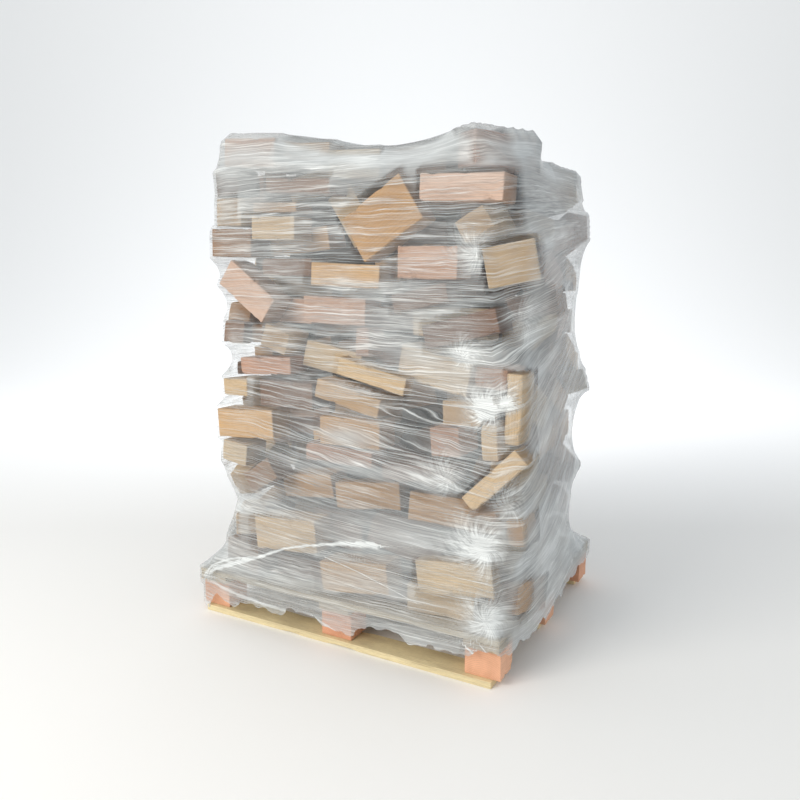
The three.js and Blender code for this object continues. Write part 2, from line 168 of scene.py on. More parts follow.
# lengths in mm, angles in degrees
pile = {
    "corners": ((-512, -500, 190), (640, -500, 45), (546, 470, 130), (-535, 470, 130)),  # x, y, round
    "courses": 10,
    "rise": 146,
    "pitch": 298,
    "frontInset": 62,
    "footInset": 55,
    "nearCornerClear": 150,
    "innerCornerClear": 165,
    "block": (250, 104, 98),
    "topHeight": 1500,
    "topRows": 5,
    "topColumns": 4,
    "topFrom": (-380, -325),
    "topStep": (262, 160),
    "topShift": 60,  # every other row lies this much further to the right
    "innerRings": (118, 232),  # how far in the blocks behind the outer ones lie
    "innerCourses": 11,
    "innerRise": 126,
    "innerPitch": 268,
    "coreWide": (-340, 340),
    "coreDeep": (-290, 240),
    "coreCount": 420,
    "coreLeast": 0.5,  # the last core block is this share of a whole one
    "gapEach": 9,  # wishes at every gap place, from the first share of a whole block to the last
    "gapShares": (0.72, 0.3),
    "bite": 3.0,  # worn edges may bite this far into each other
    "nearBy": 240,  # blocks whose middles lie further apart, by this and half a diagonal, don't touch
    "tries": 70,
}

# Ends and corners of blocks that show at the front between the larger ones: the middle of the face
# that shows, the size, and how far the block is rolled and turned, in mm and degrees.
smallBlocks = [
    ((-135, -440, 1642), (200, 100, 56), -5, 0),
    ((60, -440, 1592), (190, 100, 84), -3, 0),
    ((240, -440, 1580), (220, 100, 86), 3, 0),
    ((612, -250, 1562), (230, 100, 88), 0, 84),
    ((598, -15, 1545), (200, 100, 90), 0, 84),
    ((-420, -480, 1560), (100, 110, 84), 4, 0),
    ((-110, -455, 1588), (215, 110, 46), -3, 0),
    ((-236, -480, 1466), (190, 100, 34), -2, 0),
    ((20, -392, 1440), (190, 90, 95), -57, 0),
    ((496, -500, 1388), (98, 190, 70), 30, 0),
    ((-235, -480, 1036), (108, 110, 76), -20, 0),
    ((114, -485, 1042), (48, 100, 92), 0, 0),
    ((-415, -484, 862), (146, 120, 60), 4, -16),
    ((556, -500, 766), (50, 100, 106), 4, 0),
    ((-432, -480, 622), (110, 110, 76), -8, 0),
    ((-318, -480, 552), (130, 100, 80), 32, 0),
    ((640, -500, 505), (50, 120, 76), 6, 0),
    ((-420, -470, 232), (180, 110, 96), -4, -12),
]
# an end that shows at the left edge, put in last
edgeBlocks = [
    ((-416, -478, 1055), (78, 60, 76), -6, 10),
]


def turnOf(tilt, roll, yaw):
    # turning matrices for arrays of angles in degrees: roll first, then tilt, then yaw
    angles = np.radians(np.array([tilt, -np.asarray(roll), yaw], float))
    (cosTilt, cosRoll, cosYaw), (sinTilt, sinRoll, sinYaw) = np.cos(angles), np.sin(angles)
    zero, one = np.zeros_like(cosYaw), np.ones_like(cosYaw)

    def matrix(*rows):
        return np.moveaxis(np.array(rows), (0, 1), (-2, -1))

    aboutY = matrix((cosRoll, zero, sinRoll), (zero, one, zero), (-sinRoll, zero, cosRoll))
    aboutX = matrix((one, zero, zero), (zero, cosTilt, -sinTilt), (zero, sinTilt, cosTilt))
    aboutZ = matrix((cosYaw, -sinYaw, zero), (sinYaw, cosYaw, zero), (zero, zero, one))
    return aboutZ @ aboutX @ aboutY


def placeBlocks(at, size, tilt, roll, yaw):
    # blocks placed by the middle of the outer face, as centres, turns and half sizes in metres
    at, size = np.asarray(at, float), np.asarray(size, float)
    turn = turnOf(tilt, roll, yaw)
    centre = at + turn[:, :, 1] * size[:, 1:2] / 2
    return centre * mm + palletMiddle, turn, size * mm / 2


def pileOutline(steps=4000):
    # points and directions along the outline, counter-clockwise from the front left: straight
    # stretches joined by quadratic curves, evenly spaced by length
    corners = np.array([c[:2] for c in pile["corners"]], float)
    rounds = [c[2] for c in pile["corners"]]
    points = []
    count = len(corners)
    for k in range(1, count + 1):
        here, last, coming = corners[k % count], corners[k - 1], corners[(k + 1) % count]
        reach = rounds[k % count]
        before = here + (last - here) * reach / np.linalg.norm(last - here)
        after = here + (coming - here) * reach / np.linalg.norm(coming - here)
        t = np.linspace(0, 1, 60)[:, None]
        points.append((1 - t) ** 2 * before + 2 * t * (1 - t) * here + t ** 2 * after)
    start = points[-1][-1:]
    points = np.concatenate([start, *points])
    lengths = np.concatenate([[0], np.cumsum(np.linalg.norm(np.diff(points, axis=0), axis=1))])
    even = np.linspace(0, lengths[-1], steps)
    line = np.stack([np.interp(even, lengths, points[:, i]) for i in (0, 1)], axis=1)
    way = np.gradient(line, even, axis=0)
    return line, way / np.linalg.norm(way, axis=1, keepdims=True), lengths[-1]


def ringBlocks(course, extraInset, seedShift):
    # Wishes for one course of blocks along the outline, once round the pile: the place of each outer
    # face, the size, and the tilt, roll and yaw.
    line, way, whole = outline
    frontLength = pile["corners"][1][0] - pile["corners"][0][0] - pile["corners"][0][2]
    inner = extraInset > 0
    pitch = pile["innerPitch"] if inner else pile["pitch"]
    courseRise = pile["innerRise"] if inner else pile["rise"]
    i = np.arange(int(whole // pitch))
    seed = course * 97 + i * 7 + 11 + seedShift
    along = (i + 0.35 + 0.5 * (course % 2)) * pitch + between(seed, -20, 20)
    kept = np.abs(along - frontLength) >= pile["nearCornerClear"]
    if inner:
        # these lie further from every corner, so that they don't reach past the other face
        offCorner = (along[:, None] - cornerShares * whole + whole / 2) % whole - whole / 2
        kept = (np.abs(offCorner) > pile["innerCornerClear"]).all(axis=1)
    i, seed, along = i[kept], seed[kept], along[kept]
    index = ((along / whole) % 1 * (len(line) - 1)).astype(int)
    point, direction = line[index], way[index]
    flat = course == 0
    length, width, height = pile["block"]
    tall = between(seed + 1, 0.78, 1.1) * height
    floor = deckTop / mm + 0.3
    if flat:
        rise = floor + tall / 2 + 0.5
    else:
        rise = floor + (course + 0.42) * courseRise + between(seed + 3, -14, 14)
    least = np.where(along < frontLength, pile["frontInset"], 0)
    least = np.maximum(least, pile["footInset"] if flat else 0)
    inset = between(seed + 2, 0, 22) + least + extraInset
    x, y = point[:, 0] - direction[:, 1] * inset, point[:, 1] + direction[:, 0] * inset
    at = np.stack([x, y, rise], axis=1)
    long, wide = between(seed + 4, 0.86, 1.04) * length, between(seed + 5, 0.8, 1.1) * width
    size = np.stack([long, wide, tall], axis=1)
    yaw = np.degrees(np.arctan2(direction[:, 1], direction[:, 0])) + between(seed + 6, -7, 7)
    tilt = np.zeros(len(i)) if flat else between(seed + 7, -12, 12)
    roll = np.zeros(len(i)) if flat else between(seed + 8, -24, 24)
    return at, size, tilt, roll, yaw


def topBlocks(drop, seedShift):
    # wishes for blocks that lie across the top of the pile, in rows
    rows, columns = np.arange(pile["topRows"]), np.arange(pile["topColumns"])
    row, column = (a.ravel() for a in np.meshgrid(rows, columns, indexing="ij"))
    seed = 3000 + row * 41 + column * 13 + seedShift
    length, width, height = pile["block"]
    (fromX, fromY), (stepX, stepY) = pile["topFrom"], pile["topStep"]
    x = fromX + column * stepX + (row % 2) * pile["topShift"] + between(seed, -15, 15)
    y = fromY + row * stepY + between(seed + 1, -12, 12)
    tall = between(seed + 2, 0.8, 1.1) * height
    at = np.stack([x, y - width / 2, pile["topHeight"] - drop + between(seed + 3, 20, 62)], axis=1)
    size = np.stack([between(seed + 4, 0.86, 1.04) * length, np.full(len(x), width), tall], axis=1)
    return at, size, between(seed + 6, -10, 10), between(seed + 7, -12, 12), between(seed + 5, -20, 20)


def coreBlocks():
    # wishes for blocks anywhere inside, lying this way and that, the later the smaller
    seed = 20000 + 17 * np.arange(pile["coreCount"])
    whole = np.array(pile["block"])[:, None] * np.linspace(1, pile["coreLeast"], len(seed))
    at = np.stack([
        between(seed, *pile["coreWide"]),
        between(seed + 1, *pile["coreDeep"]),
        between(seed + 9, deckTop / mm + 40, pile["topHeight"]),
    ], axis=1)
    size = np.stack([between(seed + 2 + k, 0.8, 1.0) * whole[k] for k in range(3)], axis=1)
    return at, size, between(seed + 5, -14, 14), between(seed + 6, -20, 20), between(seed + 7, 0, 360)


# Places inside the pile where the light behind it would show through
gapPlaces = [
    (-350, -320, 1325), (-340, -230, 1180), (-330, -130, 1030), (-360, -330, 1060), (-370, -320, 890),
    (-350, -260, 660), (-330, -200, 550), (-370, -280, 470), (-300, -300, 1600), (-180, -300, 1615),
    (470, 200, 1500), (480, 180, 1310), (490, 200, 1185), (480, 220, 1045), (490, 210, 790),
    (480, 220, 630), (500, 190, 490), (480, 200, 350), (400, -100, 1560), (330, -180, 1580),
]


def gapBlocks():
    # wishes for a few blocks at each of those places, the later the smaller
    places = np.repeat(gapPlaces, pile["gapEach"], axis=0)
    seed = 40000 + 17 * np.arange(len(places))
    off = [between(seed + k, -most, most) for k, most in enumerate((50, 50, 30))]
    at = places + np.stack(off, axis=1)
    shares = np.linspace(*pile["gapShares"], pile["gapEach"])
    size = np.tile(shares, len(gapPlaces))[:, None] * pile["block"]
    return at, size, between(seed + 5, -14, 14), between(seed + 6, -20, 20), between(seed + 7, 0, 360)


def inOrder(turn, half, order):
    # boxes with their sides in another order, the third direction square to the first two
    turn = np.take_along_axis(turn, order[..., None, :], axis=-1)
    turn[..., 2] = np.cross(turn[..., 0], turn[..., 1])
    return turn, np.take_along_axis(half, order, axis=-1)


def cadBlock(node, grain=None):
    # centre, turn and half sizes of a box from the frame, its first direction along the grain, which is
    # its longest side where none is given
    mesh = frame["nodes"][node].data
    points, normals = np.empty(len(mesh.vertices) * 3), np.empty(len(mesh.polygons) * 3)
    mesh.vertices.foreach_get("co", points)
    mesh.polygons.foreach_get("normal", normals)
    points, normals = points.reshape(-1, 3), normals.reshape(-1, 3)
    first = normals[0]
    second = normals[np.argmin(np.abs(normals @ first))]
    turn = np.stack([first, second, np.cross(first, second)], axis=1)
    centre = (points.min(axis=0) + points.max(axis=0)) / 2
    half = np.abs((points - centre) @ turn).max(axis=0)
    order = np.argsort(-half if grain is None else -np.abs(np.asarray(grain) @ turn))
    return centre, *inOrder(turn, half, order)


def joinBoxes(sets):
    return tuple(np.concatenate([one[k] for one in sets]) for k in range(3))


def cadBoxes(nodes, grain=None):
    return joinBoxes([[part[None] for part in cadBlock(node, grain)] for node in nodes])


def overlapOf(one, two):
    # How deep pairs of boxes overlap, by comparing their shadows on the 15 directions that can
    # separate two boxes. It is negative where they are apart.
    (centreA, turnA, halfA), (centreB, turnB, halfB) = one, two
    waysA, waysB = np.swapaxes(turnA, -1, -2), np.swapaxes(turnB, -1, -2)
    crossed = np.cross(waysA[..., :, None, :], waysB[..., None, :, :])
    crossed = crossed.reshape(*crossed.shape[:-3], 9, 3)
    ways = np.concatenate([waysA, waysB, crossed], axis=-2)
    size = np.linalg.norm(ways, axis=-1)
    ways = ways / np.maximum(size, 1e-6)[..., None]
    gap = np.abs((ways * (centreB - centreA)[..., None, :]).sum(axis=-1))
    shadow = (np.abs(ways @ turnA) * halfA[..., None, :]).sum(axis=-1)
    shadow += (np.abs(ways @ turnB) * halfB[..., None, :]).sum(axis=-1)
    return np.where(size > 0.05, shadow - gap, 1.0).min(axis=-1)


def settleBlocks(placed, wishes, tries):
    # Blocks go in one after another. Each takes the first of its tries that cuts into no earlier
    # block, and the later a try, the further in, along, up or down and the straighter it lies.
    centre, turn, half = (list(part) for part in placed)
    k = np.arange(tries)
    ease = k / (tries - 1)
    shifts = ((41, -40, 40), (83, -4, 40), (121, -26, 26))
    along, inward, up = (between(k + seed, least, most) * ease for seed, least, most in shifts)
    straight = 1 - ease * chance(k + 163)
    smaller = 1 - 0.24 * ease * chance(k + 197)
    floor = deckTop + 0.3 * mm
    came = []
    for number, (at, size, tilt, roll, yaw) in enumerate(zip(*wishes)):
        c, s = math.cos(math.radians(yaw)), math.sin(math.radians(yaw))
        places = at + np.stack([along * c - inward * s, along * s + inward * c, up], axis=1)
        turned = yaw + (straight - 1) * 20 * chance(number)
        box = placeBlocks(places, size * smaller[:, None], tilt * straight, roll * straight, turned)
        drop = (np.abs(box[1][:, 2, :]) * box[2]).sum(axis=1)
        box[0][:, 2] = np.maximum(box[0][:, 2], floor + drop)
        there = [np.array(part) for part in (centre, turn, half)]
        away = np.linalg.norm(there[0] - box[0].mean(axis=0), axis=1)
        near = np.nonzero(away < np.linalg.norm(there[2], axis=1) + pile["nearBy"] * mm)[0]
        ok = np.ones(tries, bool)
        if len(near):
            every = np.zeros((tries, len(near), 1, 1))
            one, two = [part[:, None] for part in box], [part[near][None] for part in there]
            one[1], two[1] = one[1] + every, two[1] + every
            ok = overlapOf(one, two).max(axis=1) < pile["bite"] * mm
        if ok.any():
            first = int(ok.argmax())
            centre.append(box[0][first])
            turn.append(box[1][first])
            half.append(box[2][first])
            came.append(number)
    return (np.array(centre), np.array(turn), np.array(half)), came


outline = pileOutline()
cornerPlaces = np.array([c[:2] for c in pile["corners"]])
cornerShares = np.linalg.norm(outline[0][None] - cornerPlaces[:, None], axis=2).argmin(axis=1)
cornerShares = cornerShares / len(outline[0])  # where along the outline each corner lies
ownNames = sorted(name for name in frame["nodes"] if name.startswith("firewood_block"))
ownBoxes = cadBoxes(ownNames)


def listedBlocks(rows):
    at, size, roll, yaw = (np.array(part, float) for part in zip(*rows))
    return at, size, np.zeros(len(rows)), roll, yaw


allBoxes = ownBoxes
came = []
secondIn, thirdIn = pile["innerRings"]
innerCourses = range(pile["innerCourses"])
for name, wishes in (
    ("small ends", [listedBlocks(smallBlocks)]),
    ("outer rings", [ringBlocks(course, 0, 0) for course in range(pile["courses"])]),
    ("top", [topBlocks(0, 0)]),
    ("second ring", [ringBlocks(course, secondIn, 500) for course in innerCourses]),
    ("third ring", [ringBlocks(course, thirdIn, 1000) for course in innerCourses]),
    ("under the top", [topBlocks(112, 700)]),
    ("core", [coreBlocks()]),
    ("gaps", [gapBlocks()]),
    ("edge", [listedBlocks(edgeBlocks)]),
):
    wishes = tuple(np.concatenate([w[k] for w in wishes]) for k in range(5))
    allBoxes, numbers = settleBlocks(allBoxes, wishes, pile["tries"])
    came.append(len(numbers))
    print(name, len(numbers), "of", len(wishes[0]))


# Wood

blockShape = {
    "bevel": 2.2 * mm,
    "chip": 5.0 * mm,  # how far a knocked edge is cut back at most
    "warp": 1.2 * mm,
}


def sawnBlocks(boxes, seeds, stations, across, shape):
    # One surface for each block, as a function of the place round its section and the place along
    # its grain: a rectangle with cut corners, carried from the middle of one end face out to its rim,
    # along the block and in to the middle of the other end. Edges are cut back by a slow random wave.
    centre, turn, half = boxes
    count = len(centre)
    bevel = np.minimum(shape["bevel"], half.min(axis=1) * 0.2)[:, None, None]
    side = np.linspace(-1, 1, across + 2)[1:-1]
    # round the section: for every side its two cut corners and the points between them, as shares of
    # the half size, and how the bevel moves them
    quarter = [(-1, -1, 1)] + [(s, -1, 0) for s in side] + [(1, -1, -1)]
    section = np.array([
        (c * y - s * z, s * y + c * z, c * moved, s * moved)
        for c, s in ((1, 0), (0, 1), (-1, 0), (0, -1)) for y, z, moved in quarter
    ])
    face, cut = section[:, :2], section[:, 2:]
    isCorner = (cut != 0).any(axis=1)
    # along the grain: end middle, inside the rim, rim, then the stations of the sides
    v = np.linspace(-1, 1, stations)
    along = np.concatenate([[-1, -1], v, [1, 1]])
    shrink = np.concatenate([[0.5, 1], np.ones(stations), [1, 0.5]])[:, None, None]
    inFace = np.concatenate([[1, 1], np.zeros(stations), [1, 1]])
    onRim = np.concatenate([[0, 1], np.zeros(stations), [1, 0]])[:, None, None]
    endSide = np.concatenate([[0, 0], (np.abs(v) > 0.999) * -np.sign(v), [0, 0]])
    x = (along[:, None] * half[:, 0, None, None] + endSide[:, None] * bevel) * np.ones(len(section))
    sideways = face * half[:, None, None, 1:] * shrink + cut * bevel[..., None] * shrink
    sideways = sideways - np.sign(face) * (np.abs(face) == 1) * bevel[..., None] * onRim
    # knocked edges: a few slow waves along each edge, cut off below zero
    seed = np.asarray(seeds)[:, None, None]
    edge = np.floor(np.arange(len(section)) / (across + 2) + 0.5) % 4
    wave = np.sin(along[:, None] * (3 + 4 * chance(seed + 3 + edge)) + 6.3 * chance(seed + 7 + edge))
    wave = wave + 0.7 * np.sin(along[:, None] * (11 + 6 * chance(seed + 11 + edge)) + 6.3 * chance(seed + 17))
    chip = np.maximum(wave - 0.75, 0) / 0.95 * shape["chip"] * isCorner * shrink[..., 0] ** 3
    sideways = sideways - np.sign(face) * chip[..., None]
    # a faint bow along the length
    bow = shape["warp"] * (1 - along ** 2)[:, None, None]
    sideways = sideways + bow * np.stack([between(seed + 21, -1, 1), between(seed + 22, -1, 1)], axis=-1)
    ring = np.concatenate([x[..., None], sideways], axis=-1)
    poles = np.stack([-half, half], axis=1) * [1, 0, 0]
    local = np.concatenate([ring.reshape(count, -1, 3), poles], axis=1)
    points = centre[:, None] + np.einsum("nij,nmj->nmi", turn, local)
    n, m = len(section), len(along)
    quads = gridFaces(n, m, True)
    k = np.arange(n)
    first = np.stack([np.full(n, m * n), (k + 1) % n, k], axis=-1)
    last = np.stack([np.full(n, m * n + 1), (m - 1) * n + k, (m - 1) * n + (k + 1) % n], axis=-1)
    tris = np.concatenate([first, last])
    step = (np.arange(count) * local.shape[1])[:, None, None]
    shift = np.stack([between(seed[:, 0, 0] + 31 + k, -40, 40) for k in range(3)], axis=1)
    grain = local + shift[:, None] * [1, 0.0125, 0.0125]
    endFace = np.concatenate([np.repeat(inFace, n), [1, 1]])
    return {
        "points": points.reshape(-1, 3),
        "faceSets": [(quads[None] + step).reshape(-1, 4), (tris[None] + step).reshape(-1, 3)],
        "grain": grain.reshape(-1, 3),
        "endFace": np.tile(endFace, count),
        "size": local.shape[1],
    }


def woodMaterial(name, look):
    # Sawn wood. Its growth rings are shells round the pith, so they draw long stripes on the sides and
    # arcs on the ends, and the saw leaves a dull, slightly fuzzy face.
    material, put, shader = newMaterial(name)
    keys = ("grain", "tint", "endFace")
    grain, tint, endFace = (put("Attribute", (), {"attribute_name": key}) for key in keys)
    grain, tint, endFace = grain.outputs["Vector"], tint.outputs["Vector"], endFace.outputs["Fac"]
    # Noises, by how often they change in a metre along and across the grain: the bend of the rings, pores
    # as dashes about 1 mm wide and 30 mm long, blotches, and the marks of the saw
    bend, pores, blotch, saw = (
        put("TexNoise", {
            "Vector": put("VectorMath", (grain, (along, across, across)), times),
            "Scale": 1.0, "Detail": detail, "Roughness": roughness,
        })
        for along, across, detail, roughness in (
            (3, 14, 2.0, 0.5), (30, 620, 3.0, 0.6), (5, 20, 3.0, 0.5), (260, 60, 2.0, 0.5),
        )
    )
    # rings 5 to 7 mm apart, by the distance from the pith
    _, y, z = put("SeparateXYZ", (grain,)).outputs
    radius = put("Math", (y, y), times)
    radius = put("Math", (z, z, radius), fused)
    radius = put("Math", (radius,), {"operation": "SQRT"})
    phase = put("Math", (radius, look["rings"]), times)
    phase = put("Math", (bend, look["bend"], phase), fused)
    ring = put("Math", (phase,), {"operation": "FRACT"})
    multiply = {"data_type": "RGBA", "blend_type": "MULTIPLY"}
    plain, late = (1, 1, 1, 1), (look["late"],) * 3 + (1,)
    base = tint
    for amount, pattern, stops in (
        (look["ringShare"], ring, ((0.0, plain), (0.62, (0.9, 0.9, 0.9, 1)), (0.93, late), (1.0, plain))),
        (0.75, pores, ((0.34, (0.74, 0.7, 0.66, 1)), (0.5, plain))),
        (0.8, blotch, ((0.3, (0.86, 0.83, 0.8, 1)), (0.65, (1.08, 1.07, 1.05, 1)))),
    ):
        shade = put("ValToRGB", (pattern,), (), stops)
        base = put("Mix", {0: amount, 6: base, 7: shade}, multiply).outputs[2]
    base = put("Mix", {0: endFace, 6: base, 7: look["endColour"]}, multiply).outputs[2]
    rough = put("MapRange", {"Value": pores, "To Min": 0.86, "To Max": 0.66})
    height = put("Math", (saw, 0.5, pores), fused)
    bump = put("Bump", {"Height": height, "Strength": 0.5, "Distance": 0.6 * mm})
    feed(shader, {"Base Color": base, "Roughness": rough, "Normal": bump})
    return material


hardwood = woodMaterial("sawnHardwood", {
    "rings": 190.0,  # in a metre, one every 5 mm
    "bend": 2.2,
    "late": 0.72,
    "ringShare": 0.8,
    "endColour": (0.72, 0.66, 0.6, 1),
})
pine = woodMaterial("roughSawnPine", {
    "rings": 150.0,  # one every 7 mm
    "bend": 1.4,
    "late": 0.78,
    "ringShare": 0.7,
    "endColour": (0.97, 0.92, 0.88, 1),
})

woodTones = {
    "firewood_tan": ("#D2AC7C", "#DEC29A", "#C99E6A", "#E0C9A6"),
    "firewood_reddish": ("#D3AD96", "#CCA287", "#D9BBA8", "#C79A80"),
    "firewood_dark": ("#8A6548", "#7C5A42", "#98724F", "#846049"),
    "pallet_pine_fresh": ("#FFF2CC", "#FDEDC0"),
    "pallet_block_reddish": ("#F2BE9E", "#EEB494"),
    "pallet_pine_grey": ("#CFC2AC", "#C6B8A0", "#D4C8B0"),
}


def tintFor(slots, seeds, size):
    # a tone of its own for every block, from its slot's few
    tones = []
    for slotName, seed in zip(slots, seeds):
        choices = woodTones[slotName]
        tone = np.array(hexColour(choices[int(chance(seed + 5) * len(choices))])[:3])
        tones.append(tone * between(seed + 6, 0.84, 1.02))
    return np.repeat(tones, size, axis=0)


slotOf = {part["node"]: part["material_slot"] for part in frame["record"]["subparts"]}


def addBlock(name, node, grainWay, material, seed, stations, across, shape):
    block = sawnBlocks(cadBoxes([node], grainWay), [seed], stations, across, shape)
    tint = tintFor([slotOf[node]], [seed], block["size"])
    attributes = {"grain": block["grain"], "endFace": block["endFace"], "tint": tint}
    piece = makePiece(name, block["points"], block["faceSets"], material, attributes, False)
    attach(piece, "root")
    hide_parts(node)


for number, node in enumerate(ownNames):
    addBlock(f"block_{number + 1:02d}", node, None, hardwood, 60 + 40 * number, 14, 3, blockShape)

palletShape = {"bevel": 1.6 * mm, "chip": 4.0 * mm, "warp": 0.8 * mm}
# for each kind of pallet piece the start of its name, the way of its grain and its stations
palletKinds = {
    "bottom_board": ("pallet_", (1, 0.1, 0), 40),
    "deck_board": ("pallet_", (1, 0.1, 0), 40),
    "stringer_board": ("pallet_", (0.1, 1, 0), 36),
    "pallet_block": ("sawn_", (0.1, 1, 0), 10),
}
for number, node in enumerate(sorted(frame["nodes"])):
    for kind, (prefix, grainWay, stations) in palletKinds.items():
        if node.startswith(kind):
            addBlock(prefix + node, node, grainWay, pine, 5000 + 40 * number, stations, 3, palletShape)

heapLook = {
    "slots": ("firewood_tan", "firewood_reddish", "firewood_dark"),
    "shares": (0.6, 0.8),  # the first of them up to this share of the blocks, the second up to that one
    # how much darker the tint of the blocks deep inside is made, as painted shade
    "deepShade": (0.55, 0.49, 0.44),
}
heapNumbers = np.arange(len(ownNames), len(allBoxes[0]))
# all but the small ends, the outer rings, the top and the edge lie deep inside; their tint gets painted shade
deepInside = heapNumbers >= len(ownNames) + sum(came[:3])
deepInside[len(deepInside) - came[-1]:] = False
heapSeeds = 9000 + 40 * heapNumbers
heapSlots = np.array(heapLook["slots"])[np.searchsorted(heapLook["shares"], chance(heapSeeds + 9))]
# the grain runs along the longest side of each
heapCentre, heapTurn, heapHalf = (part[heapNumbers] for part in allBoxes)
heapTurn, heapHalf = inOrder(heapTurn, heapHalf, np.argsort(-heapHalf, axis=1))
heap = sawnBlocks((heapCentre, heapTurn, heapHalf), heapSeeds, 6, 1, blockShape)
heapTint = tintFor(heapSlots, heapSeeds, heap["size"])
# painted shade: the tint of the blocks deep inside is darkened, as if by the shade inside the pile
heapTint[np.repeat(deepInside, heap["size"])] *= heapLook["deepShade"]
loose = makePiece(
    "loose_blocks", heap["points"], heap["faceSets"], hardwood,
    {"grain": heap["grain"], "endFace": heap["endFace"], "tint": heapTint},
    False,
)
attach(loose, "root")
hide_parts("firewood_heap")
print("wood made,", len(loose.data.polygons), "faces in the loose blocks")


# Film

film = {
    "columns": 420,
    "rows": 198,
    "capRows": 30,
    "fanFrom": 1.0,  # above this height the film is worked out along rays that fan out from here
    "rim": 1.60,
    "standOff": 4.0 * mm,
    "looseFrom": 30 * mm,  # this far off the wood the film counts as wholly free
    "roughGirth": 4.1,
    "aroundPull": 3.0,  # the film pulls this many times harder round the pile than up and down
    "sinkRounds": {4: 260, 2: 160, 1: 90},  # rounds of settling on grids this many times coarser
    "rightClimb": 290 * mm,  # how far the creases climb from the near corner to the back right one
    "climbFrom": 0.022,  # they begin to climb this share of the girth before the corner
    # how far the creases sink along the front, at heights up it
    "drift": ((0.1, 0.0), (0.3, 0.01), (0.45, 0.06), (0.62, 0.15),
              (0.8, 0.08), (1.0, 0.03), (1.2, 0.02), (1.7, 0.0)),
    "fanShare": 0.4,  # how strongly creases gather at the corners of blocks
    "fanWide": 110 * mm,
    "fanTall": 32 * mm,
    "fanFront": -0.46,  # corners of blocks that lie further forward than this take part
}

# The film's lower edge: its height at places along the front edge of the pallet, and one height for the
# other sides. It is torn, so it waves and has notches.
skirt = {
    "front": ((-600, 14), (-575, 6), (-552, 26), (-536, 58), (-502, 70), (-435, 66), (-316, 81), (-181, 85),
              (-78, 112), (0, 80), (66, 52), (90, 76), (125, 110), (187, 118), (262, 112), (317, 98),
              (441, 89), (491, 110), (600, 122)),
    "other": 112,
    "wave": 7,
    "frontDeep": 0.504,  # how far in front of the pile's middle the pallet's front edge lies, in metres
    "frontFrom": -0.3,  # the outline counts as front up to this far back, in metres, and this wide
    "frontWide": 612,
    "leftRise": (-0.42, -0.22),  # on the left the edge climbs to the other height between these, in metres
}

# Strands of film rolled together, as points across and up on the front or the right side with the
# strand's half width there, in mm, and how white each strand is.
strands = [
    ("front", ((-566, 146, 11), (-500, 186, 9), (-430, 214, 7), (-293, 270, 6), (-180, 322, 4), (-75, 352, 5),
               (60, 384, 8), (190, 402, 12)), 0.55),
    ("front", ((-566, 152, 5), (-520, 196, 4), (-440, 232, 3), (-330, 262, 3)), 0.5),
    ("front", ((-566, 128, 9), (-430, 112, 9), (-273, 100, 7), (-140, 94, 8)), 0.35),
    ("front", ((-11, 325, 1.4), (120, 300, 1.6), (265, 259, 1.4), (330, 240, 1)), 0.5),
    ("front", ((-52, 100, 5), (10, 78, 5), (66, 56, 4)), 0.4),
    ("front", ((503, 122, 4), (556, 82, 5), (606, 39, 3)), 0.6),
    ("front", ((542, 142, 3), (590, 96, 3), (612, 78, 3)), 0.5),
    ("front", ((-133, 94, 8), (-90, 84, 10), (-40, 86, 6)), 0.7),
    ("right", ((-193, 112, 2), (20, 138, 2), (240, 169, 2)), 0.6),
]


def filmRays(columns, rows, capRows, aside=0.0):
    # Start and direction of one ray for every point of the film. Columns go round the outline and rows
    # go up the wall, then in over the top. Low rows look level from the axis; the rest fan out from it.
    # Rays aside point that share of a column further round, at the same heights.
    line, way, whole = outline
    index = np.linspace(0, len(line) - 1, columns, endpoint=False).astype(int)
    rim = line[index] * mm
    aimed = line[(index + round(aside * len(line) / columns)) % len(line)] * mm
    ahead = np.minimum(rim[:, 1], skirt["frontFrom"])
    atEdge = rim[:, 0] * skirt["frontDeep"] / -ahead / mm
    # on the left side it comes up from the corner step by step
    fromCorner = np.interp(rim[:, 1], skirt["leftRise"], (skirt["front"][0][1], skirt["other"]))
    other = np.where(rim[:, 0] < 0, fromCorner, skirt["other"])
    isFront = (rim[:, 1] < skirt["frontFrom"]) & (np.abs(atEdge) < skirt["frontWide"])
    low = np.where(isFront, np.interp(atEdge, *zip(*skirt["front"])), other)
    place = np.arange(columns) / columns * 2 * np.pi
    wave = np.sin(place * 23 + 1) + 0.7 * np.sin(place * 41 + 3) + 0.5 * np.sin(place * 77)
    low = (low + skirt["wave"] * wave * (low > 40)) * mm
    k = np.linspace(0, 1, rows)[:, None]
    z = low[None] + (film["rim"] - low[None]) * k
    shrink = np.linspace(1, 0, capRows + 1)[1:-1, None]
    z = np.concatenate([z, np.full((capRows - 1, columns), film["rim"])])
    reach = np.concatenate([np.ones((rows, columns)), np.broadcast_to(shrink, (capRows - 1, columns))])
    startZ = np.minimum(z, film["fanFrom"])
    start = np.stack([np.zeros_like(z), np.zeros_like(z), startZ], axis=-1) + palletMiddle
    aim = np.stack([aimed[None, :, 0] * reach, aimed[None, :, 1] * reach, z], axis=-1) + palletMiddle
    direction = aim - start
    nominal = np.linalg.norm(direction, axis=-1)
    return start, direction / nominal[..., None], nominal


def farthestWood(start, direction, boxes, grow):
    # how far along each ray the last block ends: the far side of the slab test
    found = np.zeros(direction.shape[:2])
    centre, turn, half = boxes
    for c, r, h in zip(centre, turn, half + grow):
        to = c - start
        ahead = (to * direction).sum(axis=-1)
        miss = (to * to).sum(axis=-1) - ahead ** 2
        near = (miss < (h * h).sum()) & (ahead > 0)
        if not near.any():
            continue
        o = -to[near] @ r
        d = direction[near] @ r
        d = np.where(np.abs(d) < 1e-9, 1e-9, d)
        one, two = (-h - o) / d, (h - o) / d
        enter = np.minimum(one, two).max(axis=-1)
        leave = np.maximum(one, two).min(axis=-1)
        hit = enter < leave
        found[near] = np.maximum(found[near], np.where(hit, leave, 0))
    return found


